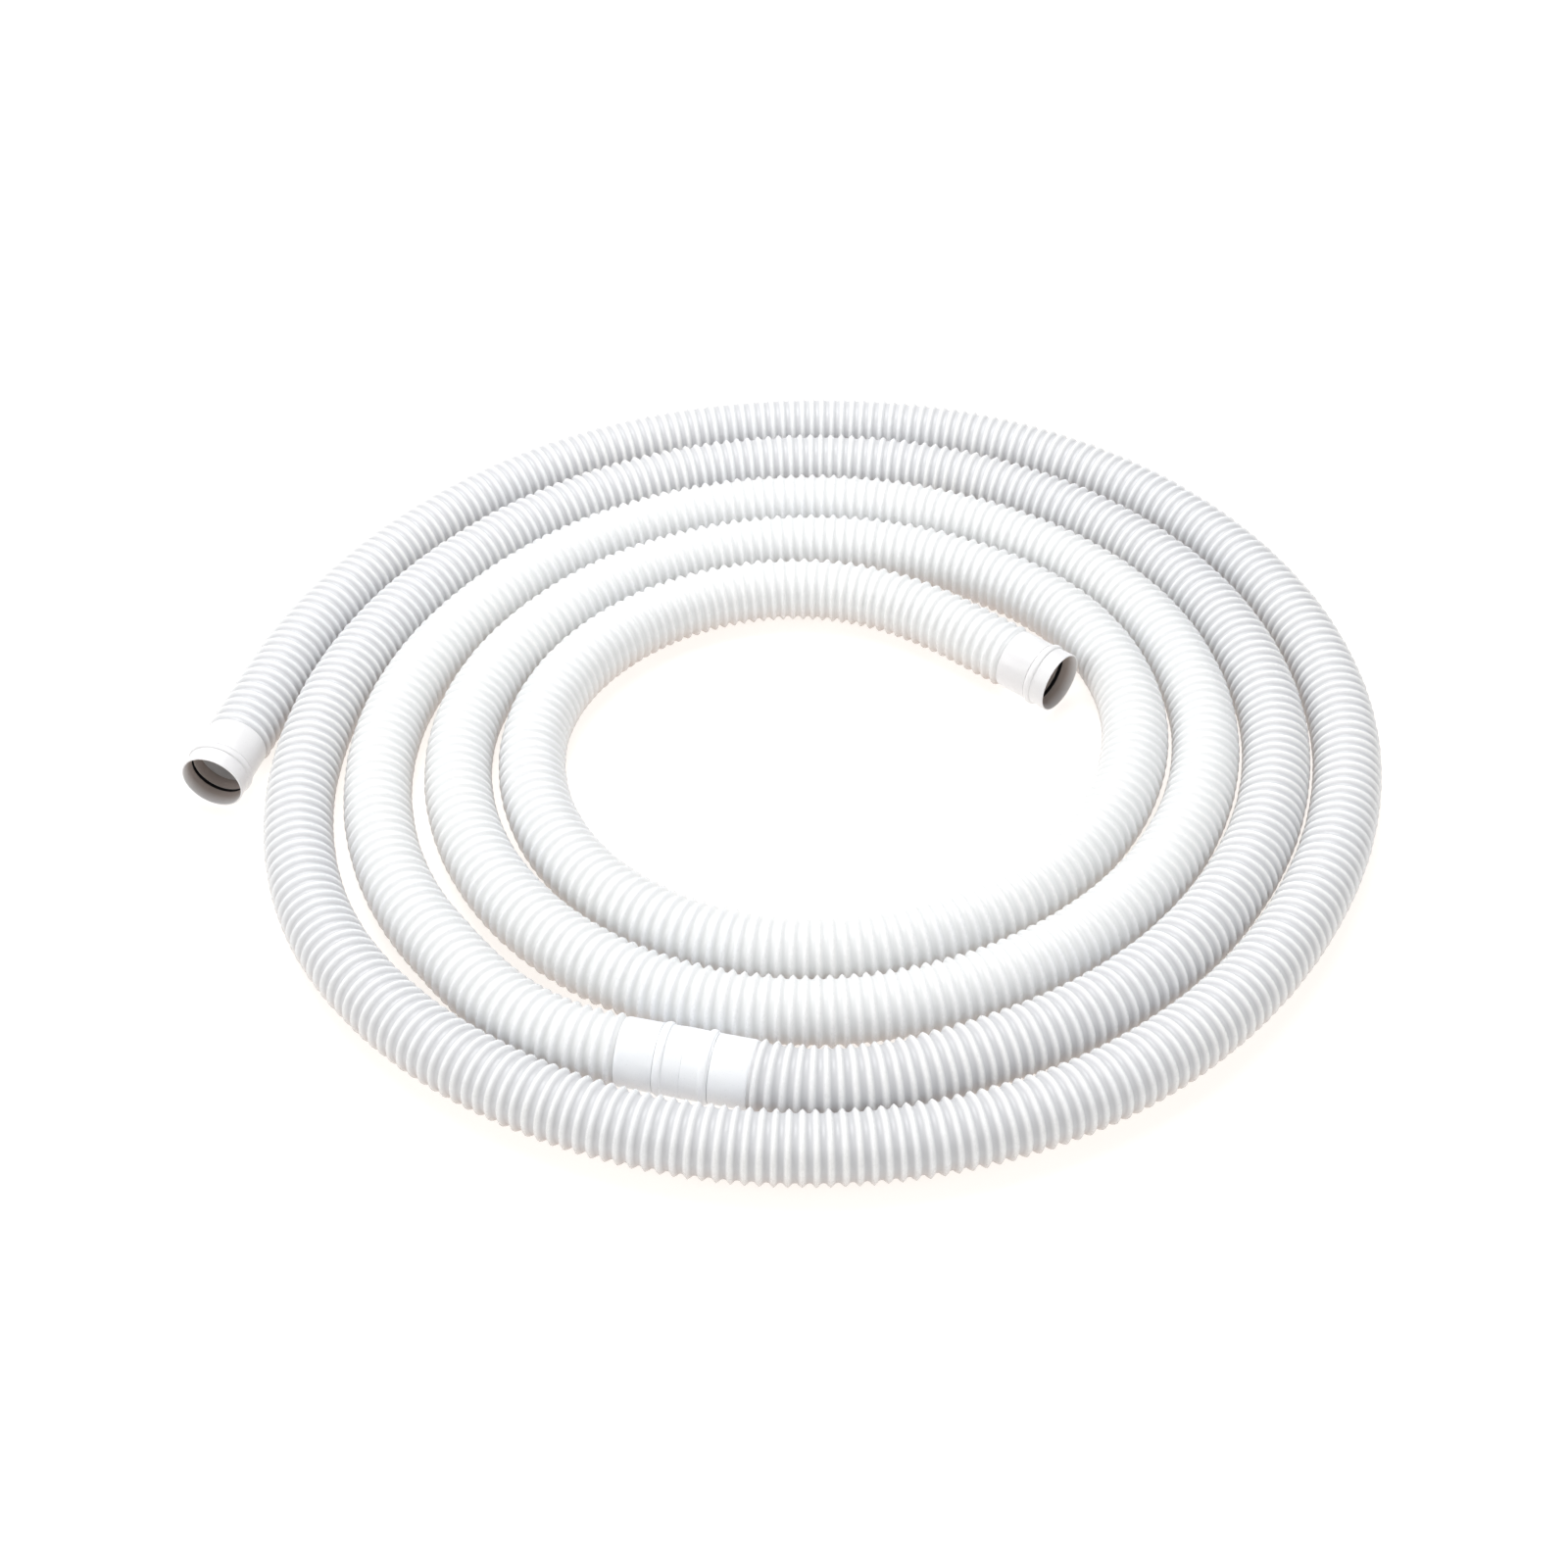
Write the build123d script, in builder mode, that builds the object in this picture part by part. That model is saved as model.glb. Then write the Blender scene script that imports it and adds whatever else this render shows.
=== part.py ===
"""Flexible 38 mm pool vacuum hose, lying on the ground in a flat spiral coil.

Two corrugated lengths are joined by a double swivel cuff, and each free end carries a swivel cuff.
A cuff is a collar fixed on the hose, a sleeve that turns on the collar, and a rubber seal in the sleeve.
Units are millimetres, +Z is up, and the origin is on the ground under the middle of the coil.
"""

import os
from math import cos, pi, radians, sin, tan

from build123d import *

os.makedirs("parts", exist_ok=True)

# ------------------------------------------------------------------ driving dimensions
# Corrugated hose
HOSE_R = 22.5            # over the crests of the corrugation
HOSE_BORE_R = 19.0       # clear bore
SPIGOT_R = 20.0          # plain end of a length, inside its collar
SPIGOT_LENGTH = 18.0
AXIS_Z = HOSE_R          # the hose lies on the ground

# Cuff, measured along its axis from the end of the corrugation to the mouth
CUFF_LENGTH = 40.0
CUFF_R = 21.0            # outside of the plain parts
CUFF_BORE_R = 19.1       # takes a 38 mm (1 1/2 in) pipe end
COLLAR_END = 23.2        # end of the collar's plain outside
NECK_R = 20.2            # neck that the sleeve's lip runs on
FLANGE_START = 24.9      # flange that holds the sleeve on
FLANGE_END = 26.1
FLANGE_R = 21.0
RUN_GAP = 0.3            # clearance of the turning sleeve, all round
SEAL_START = 26.25
SEAL_END = 28.2
SEAL_BORE_R = 19.7
BEAD_R = 22.5            # grip bead round the sleeve
BEAD_EDGE_R = 21.6
BEAD_END = 29.3
BEAD_FOOT = 30.2
RIM_ROUND = 0.7          # rounding of the mouth, outside
RIM_CHAMFER = 0.5        # lead-in of the mouth, inside

# Nipple that joins the two sleeves of the coupling
NIPPLE_LENGTH = 22.0
NIPPLE_WALL = 1.5

# Spiral coil: radius of the hose's axis at twelve clock positions of each turn, starting at the
# left-hand side (-X) and going clockwise seen from above
COIL_CENTRE = (22.7, 0.8)
TURN_RADII = [
    [393, 362, 348, 342, 349, 355, 354, 342, 339, 341, 350, 360],
    [340, 314, 299, 294, 298, 306, 307, 296, 290, 291, 300, 305],
    [292, 267, 251, 244, 247, 259, 260, 250, 242, 243, 249, 250],
    [241, 219, 203, 196, 199, 212, 213, 202, 194, 196, 201, 201],
    [192, 172, 155, 145, 140, 141],
]
CLOCK = 12               # stated radii in one turn
STEPS = 24               # route points in one turn
OUTER_STEPS = range(2, 42)
INNER_STEPS = range(45, 104)

# Where the cuffs lie: positions from the centre of the coil, headings in degrees
OUTER_FACE = (-393.0, -11.8)
OUTER_HEADING = 75.0
OUTER_FIRST_RUN = 49.0
OUTER_LEAD = (-360.0, 103.0)
INNER_MOUTH = (166.0, 46.0)
INNER_HEADING = -40.0
INNER_LEAD = (71.0, 122.0)
INNER_LAST_RUN = 42.0
COUPLING_TURNS = 1.795   # turns from the coil's start
COUPLING_RADIUS = 293.0
COUPLING_TILT = 3.3
COUPLING_LEAD = [(16.0, 0.0), (42.0, 3.4), (74.0, 13.6)]  # beyond the cuff's end, and inwards

# A bend's arc takes this share of the shorter of its two straight runs
ARC_SHARE = 0.45


# ------------------------------------------------------------------ route of the hose
def place(x, y):
    """A point of the hose's axis, from its position about the centre of the coil."""
    return Vector(COIL_CENTRE[0] + x, COIL_CENTRE[1] + y, AXIS_Z)


def heading(degrees):
    """Horizontal unit vector, anticlockwise from +X."""
    return Vector(cos(radians(degrees)), sin(radians(degrees)), 0)


def coil_radius(turns):
    """Radius of the coil after so many turns, smooth through the stated radii."""
    stated = sum(TURN_RADII, [])
    position = turns * CLOCK
    index = min(max(int(position), 1), len(stated) - 3)
    u = position - index
    a, b, c, d = stated[index - 1 : index + 3]
    return b + u * ((c - a) / 2 + u * ((2 * a - 5 * b + 4 * c - d) / 2 + u * (3 * (b - c) + d - a) / 2))


def coil_point(step):
    """Corner of the coil's route, outside the arc that it turns the hose round."""
    radius = coil_radius(step / STEPS) / cos(pi / STEPS)
    angle = pi - 2 * pi * step / STEPS
    return place(radius * cos(angle), radius * sin(angle))


coupling_angle = 180 - 360 * COUPLING_TURNS
coupling_along = heading(coupling_angle - 90 + COUPLING_TILT)
coupling_inward = -heading(coupling_angle + COUPLING_TILT)
coupling_centre = place(
    COUPLING_RADIUS * cos(radians(coupling_angle)), COUPLING_RADIUS * sin(radians(coupling_angle))
)
outer_along = heading(OUTER_HEADING)
inner_along = heading(INNER_HEADING)

# Ends of the corrugation, where the four collars begin
outer_face = place(*OUTER_FACE)
coupling_outer_face = coupling_centre - coupling_along * CUFF_LENGTH
coupling_inner_face = coupling_centre + coupling_along * CUFF_LENGTH
inner_face = place(*INNER_MOUTH) - inner_along * CUFF_LENGTH


def lead_points(face, along):
    """Route points that carry the hose from a face of the coupling into the coil."""
    return [face + along * run + coupling_inward * inward for run, inward in COUPLING_LEAD]


outer_route = (
    [outer_face, outer_face + outer_along * OUTER_FIRST_RUN, place(*OUTER_LEAD)]
    + [coil_point(step) for step in OUTER_STEPS]
    + lead_points(coupling_outer_face, -coupling_along)[::-1]
    + [coupling_outer_face]
)
inner_route = (
    [coupling_inner_face]
    + lead_points(coupling_inner_face, coupling_along)
    + [coil_point(step) for step in INNER_STEPS]
    + [place(*INNER_LEAD), inner_face - inner_along * INNER_LAST_RUN, inner_face]
)


def bend_radii(route):
    """The largest arc that each corner's two runs allow."""
    radii = []
    for before, corner, after in zip(route, route[1:], route[2:]):
        run_in = corner - before
        run_out = after - corner
        half_turn = radians(run_in.get_angle(run_out)) / 2
        radii.append(ARC_SHARE * min(run_in.length, run_out.length) / tan(half_turn))
    return radii


# ------------------------------------------------------------------ hose lengths
def make_hose_length(route, name):
    """A length of hose along its route, with a plain spigot at each end for the collars."""
    radii = bend_radii(route)
    with BuildPart() as hose:
        with BuildLine():
            axis = FilletPolyline(*route, radius=radii)
        start = axis @ 0
        end = axis @ 1
        start_out = axis % 0 * -1
        end_out = axis % 1
        with BuildSketch(Plane(origin=start, z_dir=-start_out)):
            Circle(HOSE_R)
            Circle(HOSE_BORE_R, mode=Mode.SUBTRACT)
        sweep()
        for face, outwards in ((start, start_out), (end, end_out)):
            with BuildSketch(Plane(origin=face, z_dir=outwards)):
                Circle(SPIGOT_R)
                Circle(HOSE_BORE_R, mode=Mode.SUBTRACT)
            extrude(amount=SPIGOT_LENGTH)
    tube_volume = pi * (HOSE_R**2 - HOSE_BORE_R**2) * axis.length
    spigot_volume = 2 * pi * (SPIGOT_R**2 - HOSE_BORE_R**2) * SPIGOT_LENGTH
    fullness = (hose.part.volume - spigot_volume) / tube_volume
    print(f"{name}: {axis.length:.0f} mm, volume over section times length {fullness:.4f}")
    print("  arc radii:", " ".join(f"{radius:.0f}" for radius in radii))
    return hose


# ------------------------------------------------------------------ cuff pieces
def cuff_plane(face, towards_mouth):
    """Section plane of a cuff: X along its axis towards the mouth, Y its radius."""
    return Plane(origin=face, x_dir=towards_mouth, z_dir=(0, 0, 1))


def make_collar(plane):
    """Collar fixed on the hose's spigot, with the neck and flange that the sleeve turns on."""
    with BuildPart() as collar:
        with BuildSketch(plane):
            with BuildLine():
                Polyline(
                    (0, SPIGOT_R),
                    (0, CUFF_R),
                    (COLLAR_END, CUFF_R),
                    (COLLAR_END, NECK_R),
                    (FLANGE_START, NECK_R),
                    (FLANGE_START, FLANGE_R),
                    (FLANGE_END, FLANGE_R),
                    (FLANGE_END, CUFF_BORE_R),
                    (SPIGOT_LENGTH, CUFF_BORE_R),
                    (SPIGOT_LENGTH, SPIGOT_R),
                    close=True,
                )
            make_face()
        revolve(axis=Axis(plane.origin, plane.x_dir))
    return collar


def make_sleeve(plane):
    """Sleeve that turns on the collar: a lip behind the flange, the grip bead and the mouth."""
    lip_start = COLLAR_END + RUN_GAP
    lip_end = FLANGE_START - RUN_GAP
    lip_r = NECK_R + RUN_GAP
    pocket_r = FLANGE_R + RUN_GAP
    rim_r = CUFF_R - RIM_ROUND
    with BuildPart() as sleeve:
        with BuildSketch(plane):
            with BuildLine():
                ThreePointArc(
                    (lip_start, BEAD_EDGE_R), ((lip_start + BEAD_END) / 2, BEAD_R), (BEAD_END, BEAD_EDGE_R)
                )
                Polyline((BEAD_END, BEAD_EDGE_R), (BEAD_FOOT, CUFF_R), (CUFF_LENGTH - RIM_ROUND, CUFF_R))
                RadiusArc((CUFF_LENGTH - RIM_ROUND, CUFF_R), (CUFF_LENGTH, rim_r), RIM_ROUND)
                Polyline(
                    (CUFF_LENGTH, rim_r),
                    (CUFF_LENGTH, CUFF_BORE_R + RIM_CHAMFER),
                    (CUFF_LENGTH - RIM_CHAMFER, CUFF_BORE_R),
                    (SEAL_END, CUFF_BORE_R),
                    (SEAL_END, pocket_r),
                    (lip_end, pocket_r),
                    (lip_end, lip_r),
                    (lip_start, lip_r),
                    (lip_start, BEAD_EDGE_R),
                )
            make_face()
        revolve(axis=Axis(plane.origin, plane.x_dir))
    return sleeve


def make_seal(plane):
    """Rubber seal in the sleeve's pocket, facing the flange."""
    with BuildPart() as seal:
        with BuildSketch(plane):
            with Locations(((SEAL_START + SEAL_END) / 2, (SEAL_BORE_R + FLANGE_R + RUN_GAP) / 2)):
                Rectangle(SEAL_END - SEAL_START, FLANGE_R + RUN_GAP - SEAL_BORE_R)
        revolve(axis=Axis(plane.origin, plane.x_dir))
    return seal


def make_nipple(centre, along):
    """Short pipe inside the two sleeves of the coupling, which holds them mouth to mouth."""
    with BuildPart() as nipple:
        with BuildSketch(Plane(origin=centre - along * NIPPLE_LENGTH / 2, z_dir=along)):
            Circle(CUFF_BORE_R)
            Circle(CUFF_BORE_R - NIPPLE_WALL, mode=Mode.SUBTRACT)
        extrude(amount=NIPPLE_LENGTH)
    return nipple


# ------------------------------------------------------------------ build and write
def write_piece(piece, name):
    """Label a finished piece and write it under its own name."""
    piece.part.label = name
    export_step(piece.part, f"parts/{name}.step")


CUFFS = {
    "outer_cuff": cuff_plane(outer_face, -outer_along),
    "coupling_outer": cuff_plane(coupling_outer_face, coupling_along),
    "coupling_inner": cuff_plane(coupling_inner_face, -coupling_along),
    "inner_cuff": cuff_plane(inner_face, inner_along),
}

write_piece(make_hose_length(outer_route, "hose_outer_length"), "hose_outer_length")
write_piece(make_hose_length(inner_route, "hose_inner_length"), "hose_inner_length")
for cuff, plane in CUFFS.items():
    write_piece(make_collar(plane), f"{cuff}_collar")
    write_piece(make_sleeve(plane), f"{cuff}_sleeve")
    write_piece(make_seal(plane), f"{cuff}_seal")
write_piece(make_nipple(coupling_centre, coupling_along), "coupling_nipple")
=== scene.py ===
"""A 38 mm pool vacuum hose of white corrugated plastic, lying in a flat spiral coil.

Two corrugated lengths meet in a double swivel cuff, and each free end carries a swivel cuff.
Units are metres, +Z is up, and the hose lies on the ground at z = 0.
"""

from math import cos, pi, radians, sin

import bpy
import numpy as np
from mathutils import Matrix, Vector


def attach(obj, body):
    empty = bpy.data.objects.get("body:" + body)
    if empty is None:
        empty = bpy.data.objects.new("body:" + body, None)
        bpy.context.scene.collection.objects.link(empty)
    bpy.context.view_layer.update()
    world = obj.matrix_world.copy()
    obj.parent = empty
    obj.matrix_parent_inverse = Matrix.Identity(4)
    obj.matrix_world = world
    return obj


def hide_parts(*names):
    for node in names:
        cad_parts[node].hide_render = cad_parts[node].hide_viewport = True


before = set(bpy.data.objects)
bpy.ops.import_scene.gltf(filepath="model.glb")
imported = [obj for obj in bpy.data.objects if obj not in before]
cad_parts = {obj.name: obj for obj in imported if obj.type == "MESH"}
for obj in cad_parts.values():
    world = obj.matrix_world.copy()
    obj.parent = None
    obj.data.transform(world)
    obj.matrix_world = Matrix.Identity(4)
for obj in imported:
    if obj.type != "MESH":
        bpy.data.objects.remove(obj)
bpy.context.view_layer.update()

# ------------------------------------------------------------------ sizes
HOSE_R = 0.0225          # over the crests of the corrugation
VALLEY_R = 0.0196        # bottom of the corrugation, outside
HOSE_END_R = 0.0206      # where the hose swells to meet a collar
HOSE_BORE_R = 0.0190
PITCH = 0.0078           # of the corrugation
AXIS_Z = HOSE_R

CUFF_LENGTH = 0.0400     # from the end of the corrugation to the mouth
CUFF_R = 0.0210
CUFF_BORE_R = 0.0191
SPIGOT_R = 0.0200
SPIGOT_LENGTH = 0.0180
COLLAR_END = 0.0232
NECK_R = 0.0202
FLANGE_START = 0.0249
FLANGE_END = 0.0261
RUN_GAP = 0.0003
SEAL_START = 0.0262
SEAL_END = 0.0289
SEAL_BORE_R = 0.0195
SLEEVE_BORE_R = 0.0193   # of the sleeve, between its mouth and its seal
BEAD_R = 0.0225
BEAD_LIP_R = 0.0212      # narrow steps on either side of the bead
BEAD_START = 0.0243
BEAD_END = 0.0289
BEAD_FOOT = 0.0297
MOUTH_R = 0.0213         # outside of the mouth, a little flared
MOUTH_BORE_R = 0.0203    # lead-in of the mouth
LEAD_IN = 0.0070
# The collar's rounded start: place along the axis, and rise over the spigot
COLLAR_NOSE = [(0.0, 0.0), (0.0, 0.0002), (0.0005, 0.0006), (0.0013, 0.0009), (0.0022, 0.0010)]
# The mouth's rim: places back from the mouth, inwards from MOUTH_R and outwards from MOUTH_BORE_R
RIM_OUTSIDE = [(0.0005, 0.0), (0.0001, 0.0001), (0.0, 0.0004)]
RIM_INSIDE = [(0.0, 0.0002), (0.0002, 0.0)]

# ------------------------------------------------------------------ route of the hose
# Radius of the hose's axis at twelve clock positions of each turn, starting at the left-hand side
# (-X) and going clockwise seen from above
COIL_CENTRE = Vector((0.0227, 0.0008, AXIS_Z))
TURN_RADII = [
    [0.393, 0.362, 0.348, 0.342, 0.349, 0.355, 0.354, 0.342, 0.339, 0.341, 0.350, 0.360],
    [0.340, 0.314, 0.299, 0.294, 0.298, 0.306, 0.307, 0.296, 0.290, 0.291, 0.300, 0.305],
    [0.292, 0.267, 0.251, 0.244, 0.247, 0.259, 0.260, 0.250, 0.242, 0.243, 0.249, 0.250],
    [0.241, 0.219, 0.203, 0.196, 0.199, 0.212, 0.213, 0.202, 0.194, 0.196, 0.201, 0.201],
    [0.192, 0.172, 0.155, 0.145, 0.140, 0.141],
]
CLOCK = 12               # stated radii in one turn
STEPS = 24               # route points in one turn
OUTER_STEPS = range(2, 42)
INNER_STEPS = range(45, 104)

# Where the cuffs lie: positions from the centre of the coil, headings in degrees
OUTER_FACE = (-0.3930, -0.0118)
OUTER_HEADING = 75.0
OUTER_FIRST_RUN = 0.049
OUTER_LEAD = (-0.360, 0.103)
INNER_MOUTH = (0.166, 0.046)
INNER_HEADING = -40.0
INNER_LEAD = (0.071, 0.122)
INNER_LAST_RUN = 0.042
COUPLING_TURNS = 1.795   # turns from the coil's start
COUPLING_RADIUS = 0.293
COUPLING_TILT = 3.3
# Route points beyond the coupling's ends: how far beyond, and how far inwards
COUPLING_LEAD = [(0.016, 0.0), (0.042, 0.0034), (0.074, 0.0136)]


def place(x, y):
    """A point of the hose's axis, from its position about the centre of the coil."""
    return COIL_CENTRE + Vector((x, y, 0))


def heading(degrees):
    """Horizontal unit vector, anticlockwise from +X."""
    return Vector((cos(radians(degrees)), sin(radians(degrees)), 0))


def coil_radius(turns):
    """Radius of the coil after so many turns, smooth through the stated radii."""
    stated = sum(TURN_RADII, [])
    position = turns * CLOCK
    index = min(max(int(position), 1), len(stated) - 3)
    u = position - index
    a, b, c, d = stated[index - 1 : index + 3]
    square = (2 * a - 5 * b + 4 * c - d) / 2
    cube = (3 * (b - c) + d - a) / 2
    return b + u * ((c - a) / 2 + u * (square + u * cube))


def coil_point(step):
    """Control point of the coil's route, just outside the line that it draws the hose along."""
    radius = coil_radius(step / STEPS) / cos(pi / STEPS)
    angle = pi - 2 * pi * step / STEPS
    return place(radius * cos(angle), radius * sin(angle))


coupling_angle = 180 - 360 * COUPLING_TURNS
coupling_along = heading(coupling_angle - 90 + COUPLING_TILT)
coupling_inward = -heading(coupling_angle + COUPLING_TILT)
coupling_centre = place(
    COUPLING_RADIUS * cos(radians(coupling_angle)), COUPLING_RADIUS * sin(radians(coupling_angle))
)
outer_along = heading(OUTER_HEADING)
inner_along = heading(INNER_HEADING)

# Ends of the corrugation, where the four collars begin
outer_face = place(*OUTER_FACE)
coupling_outer_face = coupling_centre - coupling_along * CUFF_LENGTH
coupling_inner_face = coupling_centre + coupling_along * CUFF_LENGTH
inner_face = place(*INNER_MOUTH) - inner_along * CUFF_LENGTH


def lead_points(face, along):
    """Route points that carry the hose from a face of the coupling into the coil."""
    return [face + along * run + coupling_inward * inward for run, inward in COUPLING_LEAD]


outer_route = (
    [outer_face, outer_face + outer_along * OUTER_FIRST_RUN, place(*OUTER_LEAD)]
    + [coil_point(step) for step in OUTER_STEPS]
    + lead_points(coupling_outer_face, -coupling_along)[::-1]
    + [coupling_outer_face]
)
inner_route = (
    [coupling_inner_face]
    + lead_points(coupling_inner_face, coupling_along)
    + [coil_point(step) for step in INNER_STEPS]
    + [place(*INNER_LEAD), inner_face - inner_along * INNER_LAST_RUN, inner_face]
)

# ------------------------------------------------------------------ camera
CAMERA_PLACE = Vector((-0.0023, -1.0579, 1.0505))
CAMERA_TARGET = Vector((-0.0023, -0.0512, AXIS_Z))
LENS_MM = 50
SENSOR_MM = 36

camera_data = bpy.data.cameras.new("camera")
camera_data.lens = LENS_MM
camera_data.sensor_width = SENSOR_MM
camera = bpy.data.objects.new("camera", camera_data)
camera.location = CAMERA_PLACE
camera.rotation_euler = (CAMERA_TARGET - CAMERA_PLACE).to_track_quat("-Z", "Y").to_euler()
bpy.context.scene.collection.objects.link(camera)
bpy.context.scene.camera = camera


# ------------------------------------------------------------------ mesh helpers
def new_object(name, vertices, faces):
    """A smooth-shaded mesh object."""
    mesh = bpy.data.meshes.new(name)
    mesh.from_pydata([tuple(v) for v in vertices], [], [tuple(f) for f in faces])
    mesh.polygons.foreach_set("use_smooth", [True] * len(mesh.polygons))
    mesh.update()
    made = bpy.data.objects.new(name, mesh)
    bpy.context.scene.collection.objects.link(made)
    return made


def ring_quads(rings, segments):
    """Quads that join each ring of points to the next."""
    first = np.arange(segments)
    after = (first + 1) % segments
    quads = []
    for ring in range(rings - 1):
        low = ring * segments
        high = low + segments
        quads.append(np.stack([low + first, low + after, high + after, high + first], axis=1))
    return np.concatenate(quads)


def closed_quads(rings, segments):
    """As ring_quads, with the last ring joined to the first."""
    last = (rings - 1) * segments
    first = np.arange(segments)
    after = (first + 1) % segments
    cap = np.stack([last + first, last + after, after, first], axis=1)
    return np.concatenate([ring_quads(rings, segments), cap])


def add_attribute(made, name, values):
    """A number at each vertex, for the material."""
    attribute = made.data.attributes.new(name, "FLOAT", "POINT")
    attribute.data.foreach_set("value", np.asarray(values, np.float32))


# ------------------------------------------------------------------ corrugated hose
HOSE_SEGMENTS = 32
# One corrugation: place within the pitch, and share of the depth
CORRUGATION = [(0.0, 0.0), (0.17, 0.10), (0.34, 0.64), (0.5, 1.0), (0.66, 0.64), (0.83, 0.10)]
PITCH_JITTER = 0.035     # share of the pitch
DEPTH_JITTER = 0.08      # share of the depth
END_SHADE = 0.5          # the ends are coloured as if half way up a crest
CURVE_STEPS = 16         # line points to each route point


def spline_line(name, route):
    """Points along the smooth spline that has the route's points as its control points."""
    curve = bpy.data.curves.new(name, "CURVE")
    curve.dimensions = "3D"
    curve.resolution_u = CURVE_STEPS
    spline = curve.splines.new("NURBS")
    spline.points.add(len(route) - 1)
    for point, control in zip(spline.points, route):
        point.co = (*control, 1)
    spline.order_u = 3
    spline.use_endpoint_u = True
    holder = bpy.data.objects.new(name, curve)
    bpy.context.scene.collection.objects.link(holder)
    line = bpy.data.meshes.new_from_object(holder)
    points = np.array([vertex.co for vertex in line.vertices])
    bpy.data.objects.remove(holder)
    bpy.data.curves.remove(curve)
    bpy.data.meshes.remove(line)
    return points


def make_hose(name, route, seed):
    """A length of hose, corrugated outside and smooth inside, with its line and its length."""
    line = spline_line(name, route)
    runs = np.linalg.norm(np.diff(line, axis=0), axis=1)
    arc = np.concatenate([[0], np.cumsum(runs)])
    length = arc[-1]
    count = round(length / PITCH)
    random = np.random.default_rng(seed)
    shift = random.uniform(-PITCH_JITTER, PITCH_JITTER, count + 1)
    shift[0] = shift[-1] = 0
    depth = 1 - random.uniform(0, DEPTH_JITTER, count)

    stations, radii, heights = [], [], []
    for corrugation in range(count):
        start = corrugation + shift[corrugation]
        width = 1 + shift[corrugation + 1] - shift[corrugation]
        for u, height in CORRUGATION:
            stations.append((start + u * width) * length / count)
            radii.append(VALLEY_R + (HOSE_R - VALLEY_R) * height * depth[corrugation])
            heights.append(height)
    stations.append(length)
    radii.append(VALLEY_R)
    heights.append(0.0)
    radii[0] = radii[-1] = HOSE_END_R
    heights[0] = heights[-1] = END_SHADE
    # the bore takes the groove colour, so it carries the painted shade too
    for bore_station in np.linspace(length, 0, count // 2):
        stations.append(bore_station)
        radii.append(HOSE_BORE_R)
        heights.append(0.0)

    stations = np.array(stations)
    axes = range(3)
    centres = np.stack([np.interp(stations, arc, line[:, axis]) for axis in axes], axis=1)
    middles = (arc[:-1] + arc[1:]) / 2
    steps = np.diff(line, axis=0) / runs[:, None]
    tangents = np.stack([np.interp(stations, middles, steps[:, axis]) for axis in axes], axis=1)
    tangents /= np.linalg.norm(tangents, axis=1)[:, None]
    sides = np.cross(tangents, (0, 0, 1))
    sides /= np.linalg.norm(sides, axis=1)[:, None]
    ups = np.cross(sides, tangents)

    angles = np.arange(HOSE_SEGMENTS) * 2 * pi / HOSE_SEGMENTS
    cosines = np.cos(angles)[None, :, None]
    sines = np.sin(angles)[None, :, None]
    around = sides[:, None] * cosines + ups[:, None] * sines
    vertices = (centres[:, None] + around * np.array(radii)[:, None, None]).reshape(-1, 3)
    hose = new_object(name, vertices, closed_quads(len(stations), HOSE_SEGMENTS))
    add_attribute(hose, "crest", np.repeat(heights, HOSE_SEGMENTS))
    return hose, line, length


# ------------------------------------------------------------------ cuffs
CUFF_SEGMENTS = 96
EDGE_ROUND = 0.00035
EDGE_ANGLE = 35          # degrees; sharper edges are rounded
EDGE_SEGMENTS = 3
BEAD_POINTS = 11
BEAD_FULLNESS = 0.8      # 1 is an ellipse, and less is fuller


def lathe(name, outline, origin, along):
    """A closed outline of (place along the axis, radius), turned about it, with rounded edges."""
    side = along.cross(Vector((0, 0, 1)))
    up = Vector((0, 0, 1))
    vertices = []
    for w, r in outline:
        for step in range(CUFF_SEGMENTS):
            angle = 2 * pi * step / CUFF_SEGMENTS
            vertices.append(origin + along * w + side * (r * cos(angle)) + up * (r * sin(angle)))
    made = new_object(name, vertices, closed_quads(len(outline), CUFF_SEGMENTS))
    bore_depth = SPIGOT_R - SEAL_BORE_R
    bore = [min(max((SPIGOT_R - r) / bore_depth, 0.0), 1.0) for w, r in outline]
    add_attribute(made, "bore", np.repeat(bore, CUFF_SEGMENTS))
    bevel = made.modifiers.new("edges", "BEVEL")
    bevel.width = EDGE_ROUND
    bevel.segments = EDGE_SEGMENTS
    bevel.limit_method = "ANGLE"
    bevel.angle_limit = radians(EDGE_ANGLE)
    bevel.harden_normals = False
    return made


def bead_arc():
    """The grip bead's crown, a little fuller than half of an ellipse."""
    half = (BEAD_END - BEAD_START) / 2
    rise = BEAD_R - BEAD_LIP_R
    angles = np.linspace(pi, 0, BEAD_POINTS)
    return [
        (BEAD_START + half + half * cos(a), BEAD_LIP_R + rise * sin(a) ** BEAD_FULLNESS)
        for a in angles
    ]


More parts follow.
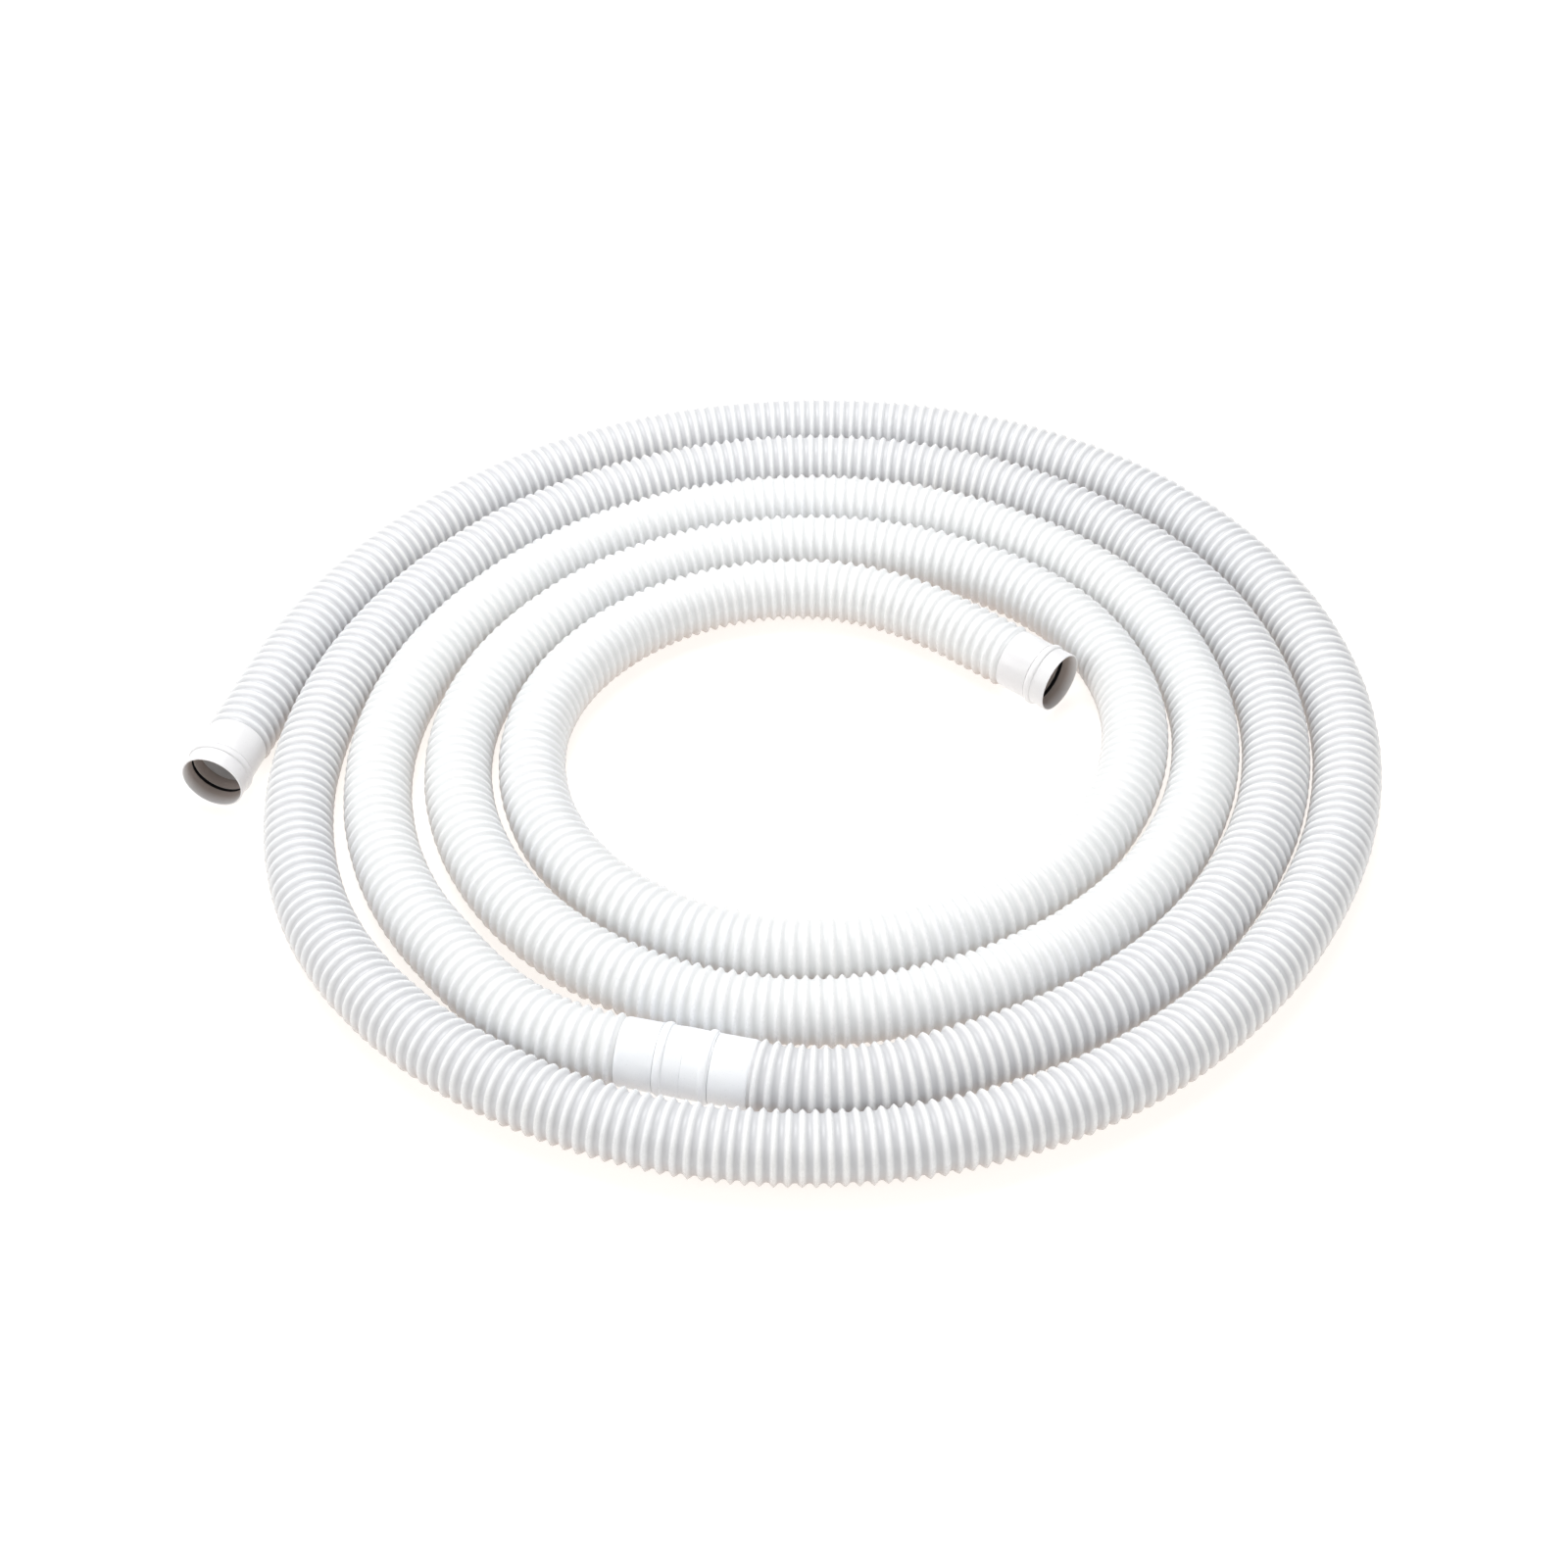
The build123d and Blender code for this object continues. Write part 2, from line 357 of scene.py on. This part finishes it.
COLLAR_OUTLINE = [(w, SPIGOT_R + rise) for w, rise in COLLAR_NOSE] + [
    (COLLAR_END, CUFF_R),
    (COLLAR_END, NECK_R),
    (FLANGE_START, NECK_R),
    (FLANGE_START, CUFF_R),
    (FLANGE_END, CUFF_R),
    (FLANGE_END, CUFF_BORE_R),
    (SPIGOT_LENGTH, CUFF_BORE_R),
    (SPIGOT_LENGTH, SPIGOT_R),
]
POCKET_R = CUFF_R + RUN_GAP
SLEEVE_OUTLINE = (
    [(COLLAR_END + RUN_GAP, BEAD_LIP_R)]
    + bead_arc()
    + [(BEAD_FOOT, CUFF_R)]
    + [(CUFF_LENGTH - back, MOUTH_R - inwards) for back, inwards in RIM_OUTSIDE]
    + [(CUFF_LENGTH - back, MOUTH_BORE_R + outwards) for back, outwards in RIM_INSIDE]
    + [
        (CUFF_LENGTH - LEAD_IN, SLEEVE_BORE_R),
        (SEAL_END, SLEEVE_BORE_R),
        (SEAL_END, POCKET_R),
        (FLANGE_START - RUN_GAP, POCKET_R),
        (FLANGE_START - RUN_GAP, NECK_R + RUN_GAP),
        (COLLAR_END + RUN_GAP, NECK_R + RUN_GAP),
    ]
)
SEAL_OUTLINE = [
    (SEAL_START, SEAL_BORE_R),
    (SEAL_START, POCKET_R),
    (SEAL_END, POCKET_R),
    (SEAL_END, SEAL_BORE_R),
]


# ------------------------------------------------------------------ materials
PLASTIC_IOR = 1.51
NOISE_ROUGHNESS = 0.55
UNDERSIDE_SHADE_HEIGHT = 0.027      # above the ground, where the painted shade on the hose's underside ends
# Painted shade: a warm brown that darkens the hose towards the ground
UNDERSIDE_SHADE = (0.36, 0.235, 0.175)
UNDERSIDE_SHADE_AMOUNT = 0.9
MILKY = (0.88, 0.89, 0.905)
MILKY_WARM = (0.92, 0.92, 0.915)
BORE_SHADE = (0.44, 0.38, 0.35)


def new_material(name):
    """A node material: its tree and its Principled shader."""
    material = bpy.data.materials.new(name)
    material.use_nodes = True
    tree = material.node_tree
    return material, tree, tree.nodes["Principled BSDF"]


def node(tree, kind, **settings):
    """A node with its settings."""
    made = tree.nodes.new(kind)
    for key, value in settings.items():
        setattr(made, key, value)
    return made


def noise(tree, coordinates, scale, detail):
    """Noise of the given scale and detail over the coordinates."""
    made = node(tree, "ShaderNodeTexNoise")
    made.inputs["Scale"].default_value = scale
    made.inputs["Detail"].default_value = detail
    made.inputs["Roughness"].default_value = NOISE_ROUGHNESS
    tree.links.new(coordinates, made.inputs["Vector"])
    return made.outputs["Fac"]


def spread(tree, value, low, high, to_low=0.0, to_high=1.0):
    """The value mapped from one range to another, and kept within it."""
    made = node(tree, "ShaderNodeMapRange")
    made.inputs["From Min"].default_value = low
    made.inputs["From Max"].default_value = high
    made.inputs["To Min"].default_value = to_low
    made.inputs["To Max"].default_value = to_high
    tree.links.new(value, made.inputs["Value"])
    return made.outputs["Result"]


def blend_colour(tree, factor, first, second):
    """Mix of two colours, each a colour or a socket, by a factor."""
    made = node(tree, "ShaderNodeMix", data_type="RGBA")
    tree.links.new(factor, made.inputs["Factor"])
    for key, colour in (("A", first), ("B", second)):
        socket = next(s for s in made.inputs if s.name == key and s.type == "RGBA")
        if isinstance(colour, tuple):
            socket.default_value = (*colour, 1)
        else:
            tree.links.new(colour, socket)
    return next(s for s in made.outputs if s.type == "RGBA")


def combine(tree, operation, first, second):
    """A Math node of two values, each a number or a socket."""
    made = node(tree, "ShaderNodeMath", operation=operation)
    for socket, value in zip(made.inputs, (first, second)):
        if isinstance(value, (int, float)):
            socket.default_value = value
        else:
            tree.links.new(value, socket)
    return made.outputs[0]


def painted_underside_shade(tree, coordinates, colour):
    """The colour with a warm painted shade over it, heaviest where the hose lies on the ground."""
    axes = node(tree, "ShaderNodeSeparateXYZ")
    tree.links.new(coordinates, axes.inputs[0])
    # painted shade: darkest where the hose meets the ground, fading out higher up
    low = spread(tree, axes.outputs["Z"], 0.0, UNDERSIDE_SHADE_HEIGHT, UNDERSIDE_SHADE_AMOUNT, 0.0)
    patchy_shade = spread(tree, noise(tree, coordinates, 60.0, 3.0), 0.3, 0.7, 0.75, 1.0)
    return blend_colour(tree, combine(tree, "MULTIPLY", low, patchy_shade), colour, UNDERSIDE_SHADE)


def add_bump(tree, shader, height, distance):
    """Fine relief of the given depth from a height."""
    bump = node(tree, "ShaderNodeBump")
    bump.inputs["Distance"].default_value = distance
    bump.inputs["Strength"].default_value = 1.0
    tree.links.new(height, bump.inputs["Height"])
    tree.links.new(bump.outputs["Normal"], shader.inputs["Normal"])


def hose_plastic(name, groove_shade):
    """Blown white polyethylene: milky, glossy on the crests, and greyed in the grooves with painted
    shade.
    """
    material, tree, shader = new_material(name)
    coordinates = node(tree, "ShaderNodeTexCoord").outputs["Object"]
    crest = node(tree, "ShaderNodeAttribute", attribute_name="crest").outputs["Fac"]
    clouds = noise(tree, coordinates, 9.0, 2.0)
    specks = noise(tree, coordinates, 420.0, 4.0)
    milky = blend_colour(tree, spread(tree, clouds, 0.35, 0.65), MILKY, MILKY_WARM)
    # painted shade: the grooves take the greyer colour, the crests the milky white
    groove_shaded = blend_colour(tree, spread(tree, crest, 0.15, 0.85), groove_shade, milky)
    # painted shade: greyer grooves, and a warm darkening towards the ground
    tree.links.new(painted_underside_shade(tree, coordinates, groove_shaded), shader.inputs["Base Color"])
    speckled = spread(tree, specks, 0.3, 0.7, 0.20, 0.30)
    duller = spread(tree, crest, 0, 1, 0.14, 0.0)
    tree.links.new(combine(tree, "ADD", speckled, duller), shader.inputs["Roughness"])
    shader.inputs["IOR"].default_value = PLASTIC_IOR
    add_bump(tree, shader, specks, 0.00008)
    return material


def cuff_plastic(name, first, second):
    """Moulded white plastic with a faint cloudiness and a fine texture, shaded in its bore.

    It carries no painted shade towards the ground, because the sleeves turn.
    """
    material, tree, shader = new_material(name)
    coordinates = node(tree, "ShaderNodeTexCoord").outputs["Object"]
    clouds = noise(tree, coordinates, 30.0, 3.0)
    grain = noise(tree, coordinates, 900.0, 2.0)
    bore = node(tree, "ShaderNodeAttribute", attribute_name="bore").outputs["Fac"]
    white = blend_colour(tree, spread(tree, clouds, 0.3, 0.7), first, second)
    tree.links.new(blend_colour(tree, bore, white, BORE_SHADE), shader.inputs["Base Color"])
    tree.links.new(spread(tree, grain, 0.3, 0.7, 0.26, 0.38), shader.inputs["Roughness"])
    shader.inputs["IOR"].default_value = PLASTIC_IOR
    add_bump(tree, shader, grain, 0.00004)
    return material


def seal_rubber():
    """Black moulded rubber, matt, with a dusty bloom."""
    material, tree, shader = new_material("black_rubber")
    coordinates = node(tree, "ShaderNodeTexCoord").outputs["Object"]
    bloom = noise(tree, coordinates, 160.0, 4.0)
    bloomed = spread(tree, bloom, 0.35, 0.75)
    black = blend_colour(tree, bloomed, (0.004, 0.004, 0.005), (0.012, 0.011, 0.011))
    tree.links.new(black, shader.inputs["Base Color"])
    tree.links.new(spread(tree, bloom, 0.3, 0.7, 0.75, 0.95), shader.inputs["Roughness"])
    shader.inputs["Specular IOR Level"].default_value = 0.2
    add_bump(tree, shader, bloom, 0.00005)
    return material


WHITE_MOULDING = cuff_plastic("white_moulding", (0.79, 0.78, 0.79), (0.85, 0.85, 0.85))
BLUISH_MOULDING = cuff_plastic("bluish_moulding", (0.88, 0.90, 0.93), (0.92, 0.935, 0.95))
BLACK_RUBBER = seal_rubber()
# The two lengths are the same plastic; the outer one's grooves carry a darker painted shade than
# the inner one's.
OUTER_BLOWN_DARKER_SHADE = hose_plastic("blown_plastic_outer_darker_shade", (0.63, 0.635, 0.65))
INNER_BLOWN_LIGHTER_SHADE = hose_plastic("blown_plastic_inner_lighter_shade", (0.79, 0.80, 0.80))

# ------------------------------------------------------------------ build the pieces
# Each cuff: its face and axis, its plastic and slot, and the body that its sleeve turns with
CUFFS = {
    "outer_cuff": (outer_face, -outer_along, WHITE_MOULDING, "cuff_plastic", "outer_swivel"),
    "coupling_outer": (
        coupling_outer_face, coupling_along, BLUISH_MOULDING, "coupling_plastic", "coupling_swivel"
    ),
    "coupling_inner": (
        coupling_inner_face, -coupling_along, BLUISH_MOULDING, "coupling_plastic", "coupling_swivel"
    ),
    "inner_cuff": (inner_face, inner_along, WHITE_MOULDING, "cuff_plastic", "inner_swivel"),
}


def add_piece(made, cad_node, body, material):
    """Give a finished piece its material, and let it stand for its CAD node on its body."""
    made.data.materials.append(material)
    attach(made, body)
    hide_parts(cad_node)


for cuff, (face, along, plastic, plastic_slot, swivel) in CUFFS.items():
    for part, outline, body, material, slot in (
        ("collar", COLLAR_OUTLINE, "hose", plastic, plastic_slot),
        ("sleeve", SLEEVE_OUTLINE, swivel, plastic, plastic_slot),
        ("seal", SEAL_OUTLINE, swivel, BLACK_RUBBER, "seal_rubber"),
    ):
        made = lathe(f"{cuff}_{part}_look", outline, face, along)
        add_piece(made, f"{cuff}_{part}", body, material)

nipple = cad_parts["coupling_nipple"]
nipple.data.materials.clear()
nipple.data.materials.append(BLUISH_MOULDING)

# Each length: its route, random seed and plastic, where it starts, and the cuffs at its two ends
LENGTHS = {
    "hose_outer_length": (
        outer_route, 7, OUTER_BLOWN_DARKER_SHADE, outer_face, ("outer_cuff", "coupling_outer")
    ),
    "hose_inner_length": (
        inner_route, 11, INNER_BLOWN_LIGHTER_SHADE, coupling_inner_face, ("coupling_inner", "inner_cuff")
    ),
}

for name, (route, seed, material, exit_face, ends) in LENGTHS.items():
    hose, line, length = make_hose(f"{name}_look", route, seed)
    add_piece(hose, name, "hose", material)

# ------------------------------------------------------------------ floor and light
FLOOR_SIZE = 40.0
FLOOR_GREY = 0.35
FLOOR_GLOW = (1.0, 0.965, 0.92)
FLOOR_GLOW_STRENGTH = 0.82
WORLD_COLOUR = (0.97, 0.985, 1.0)
WORLD_STRENGTH = 0.32
# Each lamp: its name, place, target, width, power in watts and colour
LAMPS = [
    ("top_softbox", (-0.3, 0.8, 2.2), (0, 0, 0), 1.6, 56, (1.0, 1.0, 1.0)),
    ("front_softbox", (0, -1.9, 0.9), (0, -0.2, 0), 1.2, 5, (1.0, 0.98, 0.96)),
    ("left_softbox", (-1.9, -0.9, 1.1), (0, -0.1, 0), 1.2, 12, (1.0, 0.99, 0.98)),
    ("right_softbox", (1.9, -0.9, 1.1), (0, -0.1, 0), 1.2, 7, (0.98, 0.99, 1.0)),
]


def make_floor():
    """A plain white floor, lit from within so that it carries next to no shadow."""
    half = FLOOR_SIZE / 2
    corners = [(-half, -half, 0), (half, -half, 0), (half, half, 0), (-half, half, 0)]
    floor = new_object("floor", corners, [(0, 1, 2, 3)])
    material, tree, shader = new_material("floor_white")
    shader.inputs["Base Color"].default_value = (FLOOR_GREY, FLOOR_GREY, FLOOR_GREY, 1)
    shader.inputs["Roughness"].default_value = 0.9
    shader.inputs["Specular IOR Level"].default_value = 0.0
    shader.inputs["Emission Color"].default_value = (*FLOOR_GLOW, 1)
    shader.inputs["Emission Strength"].default_value = FLOOR_GLOW_STRENGTH
    floor.data.materials.append(material)


def add_light(name, spot, target, size, power, colour):
    """A soft square lamp."""
    data = bpy.data.lights.new(name, "AREA")
    data.size = size
    data.energy = power
    data.color = colour
    lamp = bpy.data.objects.new(name, data)
    lamp.location = spot
    lamp.rotation_euler = (Vector(target) - Vector(spot)).to_track_quat("-Z", "Y").to_euler()
    bpy.context.scene.collection.objects.link(lamp)


def set_world(colour, strength):
    """Even white surroundings."""
    world = bpy.data.worlds.new("surroundings")
    world.use_nodes = True
    background = world.node_tree.nodes["Background"]
    background.inputs["Color"].default_value = (*colour, 1)
    background.inputs["Strength"].default_value = strength
    bpy.context.scene.world = world


make_floor()
set_world(WORLD_COLOUR, WORLD_STRENGTH)
for lamp in LAMPS:
    add_light(*lamp)
bpy.context.scene.view_settings.view_transform = "Standard"
